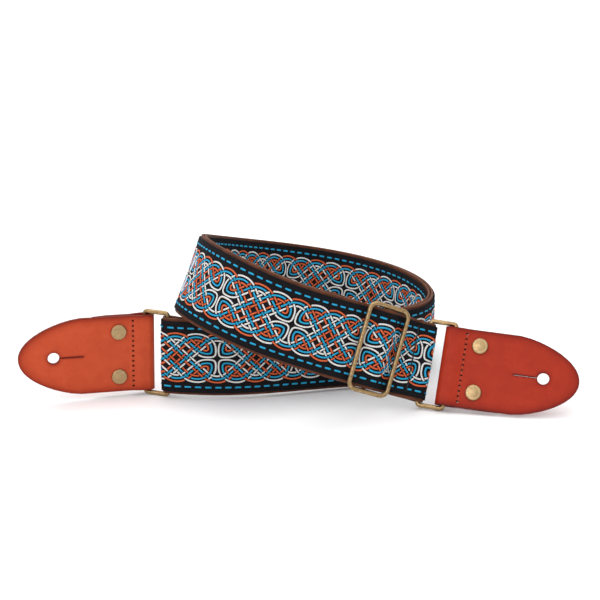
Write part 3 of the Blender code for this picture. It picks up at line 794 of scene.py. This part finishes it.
def strand_rings(places, line, width):
    """Rings of four points round a woven strand: (q, v, height) and texture places in mm."""
    run = np.gradient(line, places, axis=0)
    run /= np.hypot(*run.T)[:, None]
    left = np.stack([-run[:, 1], run[:, 0]], 1)
    scale = 1 - FLOAT_DIP * (np.arange(len(places)) % 2)
    scale[[0, -1]] = END_SCALE
    rings, uv = [], []
    for part, height in ((-0.5, -0.04), (-0.3, 1.0), (0.3, 1.0), (0.5, -0.04)):
        spot = line + left * (part * width * (0.4 + 0.6 * scale))[:, None]
        rings.append(np.column_stack([spot, STRAND_HEIGHT * height * scale]))
        uv.append(np.column_stack([places, np.full(len(places), part * width)]))
    return np.stack(rings, 1).reshape(-1, 3), np.stack(uv, 1).reshape(-1, 2)


def one_repeat():
    """The raised threads of one repeat: for each colour a list of (ring points, texture places)."""
    made = {"orange": [], "turquoise": [], "white": []}
    for colour, line, lengths, start, stop, upper in visible_stretches(top_strands()):
        count = max(2, math.ceil((stop - start - 2 * END_SAMPLE) / SAMPLE) + 1)
        inner = np.linspace(start + END_SAMPLE, stop - END_SAMPLE, count)
        places = np.concatenate([[start], inner, [stop]])
        spots = np.stack([np.interp(places, lengths, line[:, k]) for k in (0, 1)], 1)
        if not upper:
            spots[:, 1] *= -1
        made[colour].append(strand_rings(places, spots, STRAND_WIDTH))
    for first, row in ((TOP_DASH, DASH_ROW), (LOW_DASH, -DASH_ROW)):
        for i in range(DASH_COUNT):
            places = np.array([0, DASH_TIP, DASH_LENGTH / 2, DASH_LENGTH - DASH_TIP, DASH_LENGTH])
            along = first + i * DASH_PITCH + places - DASH_LENGTH / 2
            spots = np.stack([along, np.full(len(places), row)], 1)
            made["turquoise"].append(strand_rings(places, spots, DASH_WIDTH))
    return made


def repeat_lengths():
    """The band's length at some repeats, from one before the first to one after the last."""
    known = [(n, length_at(s, INNER_PART)) for n, s in INNER_CROSSES]
    known += [(n, length_at(s, OUTER_PART)) for n, s in OUTER_CROSSES]
    (n0, l0), (n1, l1) = known[0], known[-1]
    before, after = math.ceil(l0 / REPEAT) + 1, math.ceil((BAND_LENGTH - l1) / REPEAT) + 1
    return [(n0 - before, l0 - before * REPEAT), *known, (n1 + after, l1 + after * REPEAT)]


def make_knotwork(materials):
    """The raised threads of the whole ribbon, one piece for each colour."""
    numbers, lengths = np.array(repeat_lengths()).T
    for colour, pieces in one_repeat().items():
        points, uv, faces = [], [], []
        count = 0
        for n in range(int(numbers[0]), int(numbers[-1])):
            for rings, places in pieces:
                along = np.interp(n + rings[:, 0] / REPEAT, numbers, lengths)
                if along.min() < RIBBON_MARGIN or along.max() > BAND_LENGTH - RIBBON_MARGIN:
                    continue
                points.append(on_band(along, rings[:, 1], RIBBON_FACE + rings[:, 2]))
                uv.append(places)
                faces += loft_faces(len(rings) // 4, 4, first=count)
                count += len(rings)
        mesh = mesh_of(f"{colour}_knotwork", np.concatenate(points), faces, np.concatenate(uv))
        link(f"{colour}_knotwork", mesh, [materials[colour]], "strap", smooth=80)


# ---------------------------------------------------------------- the band

def make_ribbon(materials):
    """The woven ribbon's black ground."""
    profile = slab_profile(RIBBON_WIDTH / 2, RIBBON_LOW, RIBBON_FACE, RIBBON_ROUNDING)
    mesh = outward(band_slab("woven_ribbon", profile, RIBBON_END))
    link("woven_ribbon", mesh, [materials["twill"]], "strap", ["strap_ribbon"])


def make_backing(materials):
    """The leather backing, with paler cut edges."""
    half = BACKING_THICKNESS / 2
    profile = slab_profile(STRAP_WIDTH / 2, -half, half, BACKING_ROUNDING)
    mesh = outward(band_slab("leather_backing", profile))
    on_edge = [abs(w) > STRAP_WIDTH / 2 - CUT_EDGE_WIDTH for w, _ in profile]
    for face in mesh.polygons:
        if len(face.vertices) > 4 or all(on_edge[v % len(profile)] for v in face.vertices):
            face.material_index = 1
    link("leather_backing", mesh, [materials["backing"], materials["cut_edge"]], "strap",
         ["strap_backing"])


def stitch(points, faces, start, end, out, radius, rise):
    """Adds one raised stitch between two holes, sunk at both ends."""
    path = []
    for part in np.linspace(0, 1, 9):
        lift = rise * (1 - (2 * part - 1) ** 4) - radius * 0.9
        path.append(start.lerp(end, float(part)) + out * lift)
    more, more_faces = tube(path, radius, 8)
    faces += [tuple(v + len(points) for v in f) for f in more_faces]
    points += more


def make_band_seams(materials):
    """The stitches of the two seams across the band, on both of its faces."""
    half = BACKING_THICKNESS / 2
    lower = SEWN_LEVEL - BACKING_THICKNESS - LAYER_GAP
    seams = (("ring_seam_stitches", STRAP_LENGTH - RING_SEAM, OUTER_LEVEL + RIBBON_FACE,
              -OUTER_LEVEL - RIBBON_FACE, "ring_seam_thread"),
             ("slider_seam_stitches", SLIDER_S - SLIDER_SEAM, SEWN_LEVEL + RIBBON_FACE,
              lower - RIBBON_FACE, "slider_seam_thread"))
    for name, s, front, back, node in seams:
        points, faces = [], []
        out = Vector(route_at(np.array([s]))[2][0])
        w = (np.arange(SEAM_HOLES * 2 - 1) / 2 - (SEAM_HOLES - 1) / 2) * SEAM_PITCH
        for level, side in ((front, 1), (back, -1)):
            spots = bent(np.full(len(w), s), np.full(len(w), level), w)
            for a, b in zip(spots, spots[1:]):
                stitch(points, faces, Vector(a), Vector(b), out * side, BAND_STITCH_RADIUS, half)
        mesh = mesh_of(name, [tuple(p * MM) for p in points], faces)
        link(name, mesh, [materials["black_thread"]], "strap", [node])


# ---------------------------------------------------------------- metal

def joint_place(name):
    """A joint's place in mm and its axis."""
    joint = next(j for j in frame["joints"] if j["name"] == name)
    return Vector(joint["pos_m"]) / MM, Vector(joint["axis"]).normalized()


def ring_frame(side):
    """A matrix in mm on the ring's bar in the strap: x towards its other bar, y out of its front."""
    ring_bar, axis = joint_place(f"{side}_ring_hinge")
    tab_bar, _ = joint_place(f"{side}_tab_hinge")
    along = (tab_bar - ring_bar).normalized()
    front = axis.cross(along)
    if front.y > 0:
        front, axis = -front, -axis
    matrix = Matrix((along, front, axis)).transposed().to_4x4()
    matrix.translation = ring_bar
    return matrix


def tab_frame(side):
    """A matrix in mm on the tab's bar: x towards the tab's point, y out of its front, z across it."""
    turn, lean = (math.radians(v) for v in TAB_TURNS[side])
    swing = Matrix.Rotation(turn, 4, "Z") @ Matrix.Rotation(lean, 4, "Y")
    return ring_frame(side) @ Matrix.Translation((RING_PITCH, 0, 0)) @ swing


def placed(name, points, faces, matrix):
    """A mesh in metres from local points in mm and the matrix that places them."""
    return outward(mesh_of(name, [tuple(matrix @ p * MM) for p in points], faces))


def make_rings(materials):
    """The two wire rings between the strap and its tabs."""
    path = rounded_rectangle(RING_PITCH, RING_INSIDE + 2 * WIRE_RADIUS, RING_CORNER)
    for side in ("left", "right"):
        centred = [p + Vector((RING_PITCH / 2, 0, 0)) for p in path]
        points, faces = tube(centred, WIRE_RADIUS, WIRE_SIDES, True)
        mesh = placed(f"{side}_ring_wire", points, faces, ring_frame(side))
        link(f"{side}_ring_wire", mesh, [materials["brass"]], f"{side}_ring", [f"{side}_ring"])


def make_slider(materials):
    """The slider's frame and the centre bar fixed behind it."""
    middle, along, out, across = (Vector(v[0]) for v in route_at(np.array([SLIDER_S])))
    matrix = Matrix((along, out, across)).transposed().to_4x4()
    matrix.translation = middle
    path = rounded_rectangle(SLIDER_PITCH, SLIDER_INSIDE + 2 * WIRE_RADIUS, SLIDER_CORNER)
    points, faces = tube([p + Vector((0, SLIDER_O, 0)) for p in path], WIRE_RADIUS, WIRE_SIDES, True)
    mesh = placed("slider_wire", points, faces, matrix)
    link("slider_wire", mesh, [materials["brass"]], "slider", ["slider_frame"])

    reach = SLIDER_INSIDE / 2 + WIRE_RADIUS
    fixed = SLIDER_O - WIRE_RADIUS - CENTRE_BAR_RADIUS * 0.6
    # The bar's two ends bend forward to the frame
    ends = [(fixed, reach), (fixed - 1.2, reach - 0.2), (CENTRE_BAR_O + 0.4, reach - 1.0),
            (CENTRE_BAR_O, reach - 2.4)]
    bar = [Vector((0, y, -z)) for y, z in ends] + [Vector((0, y, z)) for y, z in ends[::-1]]
    points, faces = tube(bar, CENTRE_BAR_RADIUS, WIRE_SIDES)
    mesh = placed("slider_bar", points, faces, matrix)
    link("slider_bar", mesh, [materials["brass"]], "slider", ["slider_centre_bar"])


# A rivet's outlines as (radius, height above the leather), each from its sunk end to its middle outside
RIVET_CAP = ((0, -0.6), (2.4, -0.6), (4.3, 0), (4.85, 0.25), (5.0, 0.7), (4.9, 1.15), (4.6, 1.45),
             (4.2, 1.55), (3.8, 1.5), (3.2, 1.58), (2.2, 1.75), (1.0, 1.86), (0, 1.88))
RIVET_FOOT = ((0, -0.5), (1.5, -0.5), (4.2, 0), (4.5, 0.2), (4.5, 0.75), (4.2, 1.05), (3.0, 1.1), (1.6, 0.95),
              (0, 0.9))


def make_rivets(materials):
    """Each tab's two rivets: a pressed cap with a rolled rim in front, and a disc foot behind."""
    front = TAB_PLY_GAP / 2 + TAB_THICKNESS
    cap = [(radius, front + y) for radius, y in RIVET_CAP]
    foot = [(radius, -front - y) for radius, y in RIVET_FOOT]
    for side in ("left", "right"):
        for label, w in (("lower", -RIVET_SPACING / 2), ("upper", RIVET_SPACING / 2)):
            for part, profile, node in (("button", cap, "cap"), ("foot", foot, "post")):
                name = f"{side}_{label}_rivet"
                points, faces = turned(profile, RIVET_SIDES)
                spot = tab_frame(side) @ Matrix.Translation((RIVET_FROM_FOLD - TAB_FOLD, 0, w))
                mesh = placed(f"{name}_{part}", points, faces, spot)
                link(f"{name}_{part}", mesh, [materials["rivet"]], f"{side}_tab", [f"{name}_{node}"],
                     35)


# ---------------------------------------------------------------- tabs

def lay_flat(mesh, to_local):
    """Gives a tab's mesh one UV map: each point's place from the fold and from the middle line, in mm."""
    while mesh.uv_layers:
        mesh.uv_layers.remove(mesh.uv_layers[0])
    flat = mesh.uv_layers.new(name="flat")
    for loop in mesh.loops:
        spot = to_local @ (mesh.vertices[loop.vertex_index].co / MM)
        flat.data[loop.index].uv = (spot.x + TAB_FOLD, spot.z)


def make_tabs(materials):
    """The leather tabs, with eased and burnished edges and a saddle-stitched seam. Their leather darkens
    towards the edges and holes, partly as burnish and partly as painted shade, and round the slit as painted
    shade.
    """
    for side in ("left", "right"):
        matrix = tab_frame(side)
        front = (matrix.to_3x3() @ Vector((0, 1, 0))).normalized()
        across = (matrix.to_3x3() @ Vector((0, 0, 1))).normalized()
        back_to_local = matrix.inverted()
        mesh = frame["nodes"][f"{side}_tab"].data.copy()
        mesh.materials.clear()
        lay_flat(mesh, back_to_local)
        piece = link(f"{side}_tab_leather", mesh, [materials[f"{side}_leather"], materials["burnished"]],
                     f"{side}_tab", [f"{side}_tab"], 40)
        # The cut sides, the rim of the rounded point and the walls of the holes are burnished
        for face in piece.data.polygons:
            beyond = (back_to_local @ (face.center / MM)).x > 1
            if abs(face.normal.dot(across)) > 0.75 or (beyond and abs(face.normal.dot(front)) < 0.4):
                face.material_index = 1
        bevel = piece.modifiers.new("eased_edges", "BEVEL")
        bevel.width = TAB_BEVEL * MM
        bevel.segments = 3
        bevel.material = 1
        bevel.limit_method = "ANGLE"
        bevel.angle_limit = math.radians(50)
        bevel.use_clamp_overlap = True

        points, faces = [], []
        level = TAB_PLY_GAP / 2 + TAB_THICKNESS
        first = -(TAB_SEAM_HOLES - 1) / 2 * TAB_SEAM_PITCH
        for i in range(TAB_SEAM_HOLES - 1):
            w = first + i * TAB_SEAM_PITCH
            for y, way in ((level, 1), (-level, -1)):
                start = Vector((TAB_SEAM - TAB_FOLD, y, w + STITCH_HOLE_REACH))
                end = Vector((TAB_SEAM - TAB_FOLD, y, w + TAB_SEAM_PITCH - STITCH_HOLE_REACH))
                out = Vector((0, way, 0))
                stitch(points, faces, start, end, out, TAB_STITCH_RADIUS, TAB_STITCH_RISE)
        mesh = mesh_of(f"{side}_tab_stitches", [tuple(matrix @ p * MM) for p in points], faces)
        link(f"{side}_tab_stitches", mesh, [materials["brown_thread"]], f"{side}_tab",
             [f"{side}_tab_seam_thread"])


# ---------------------------------------------------------------- the studio

def facing(place, target):
    """The rotation that turns a lamp or a camera from its place to a target."""
    return (Vector(target) - Vector(place)).to_track_quat("-Z", "Y").to_euler()


def make_studio():
    """A pale floor, a sky that brightens overhead, two soft lamps, and the camera."""
    scene = bpy.context.scene
    scene.view_settings.view_transform = "Standard"
    corners = [(x * FLOOR_REACH, y * FLOOR_REACH, 0) for x, y in ((-1, -1), (1, -1), (1, 1), (-1, 1))]
    mesh = mesh_of("floor", corners, [(0, 1, 2, 3)])
    material, _, shader = principled("floor_paper", (0.93, 0.93, 0.93), 0.9)
    shader.inputs["Specular IOR Level"].default_value = 0.1
    mesh.materials.append(material)
    floor = bpy.data.objects.new("floor", mesh)
    scene.collection.objects.link(floor)

    world = bpy.data.worlds.new("studio")
    world.use_nodes = True
    tree = world.node_tree
    background = tree.nodes["Background"]
    background.inputs["Strength"].default_value = 1.6
    split = tree.nodes.new("ShaderNodeSeparateXYZ")
    tree.links.new(tree.nodes.new("ShaderNodeTexCoord").outputs["Generated"], split.inputs[0])
    sky = ramp(tree, split.outputs["Z"],
               ((0.0, (0.3, 0.3, 0.31)), (0.35, (0.55, 0.55, 0.56)), (1.0, (1, 1, 1))))
    tree.links.new(sky, background.inputs["Color"])
    scene.world = world
    for name, place, width, power in LAMPS:
        lamp = bpy.data.lights.new(name, "AREA")
        lamp.size = width
        lamp.energy = power
        light = bpy.data.objects.new(name, lamp)
        light.location = place
        light.rotation_euler = facing(place, LAMP_TARGET)
        scene.collection.objects.link(light)

    camera = bpy.data.objects.new("camera", bpy.data.cameras.new("camera"))
    camera.data.lens = CAMERA_LENS
    camera.data.sensor_width = 36
    camera.data.clip_end = 50
    camera.location = CAMERA_PLACE
    camera.rotation_euler = facing(CAMERA_PLACE, CAMERA_TARGET)
    scene.collection.objects.link(camera)
    scene.camera = camera


def make_materials():
    """Every material of the model, by its use."""
    return {
        "twill": twill_material(),
        "turquoise": strand_material("turquoise_thread", (0.02, 0.48, 0.8), (0.008, 0.2, 0.38)),
        "orange": strand_material("orange_thread", (0.85, 0.16, 0.05), (0.42, 0.06, 0.02)),
        "white": strand_material("white_thread", (0.95, 0.93, 0.9), (0.5, 0.48, 0.47)),
        "backing": leather_material("brown_leather", (0.12, 0.038, 0.018), (0.06, 0.02, 0.01), 0.6),
        "cut_edge": edge_material("cut_edge", (0.2, 0.08, 0.042), (0.07, 0.026, 0.014)),
        "left_leather": leather_material("left_leather", (0.51, 0.07, 0.023), (0.45, 0.056, 0.018),
                                         0.45, 0.8, True),
        "right_leather": leather_material("right_leather", (0.36, 0.026, 0.008), (0.31, 0.02, 0.006),
                                          0.45, 0.8, True),
        "burnished": edge_material("burnished_edge", (0.26, 0.03, 0.015), (0.1, 0.013, 0.008)),
        "brass": brass_material("antique_brass_finish", (0.16, 0.1, 0.045), (0.36, 0.24, 0.115),
                                (0.52, 0.37, 0.19)),
        "rivet": brass_material("rivet_brass", (0.3, 0.2, 0.1), (0.385, 0.265, 0.135),
                                (0.44, 0.305, 0.16)),
        "black_thread": thread_material("black_sewing_thread", (0.012, 0.012, 0.014)),
        "brown_thread": thread_material("brown_sewing_thread", (0.48, 0.08, 0.03)),
    }


def main():
    materials = make_materials()
    make_backing(materials)
    make_ribbon(materials)
    make_knotwork(materials)
    make_band_seams(materials)
    make_rings(materials)
    make_slider(materials)
    make_rivets(materials)
    make_tabs(materials)
    make_studio()


main()
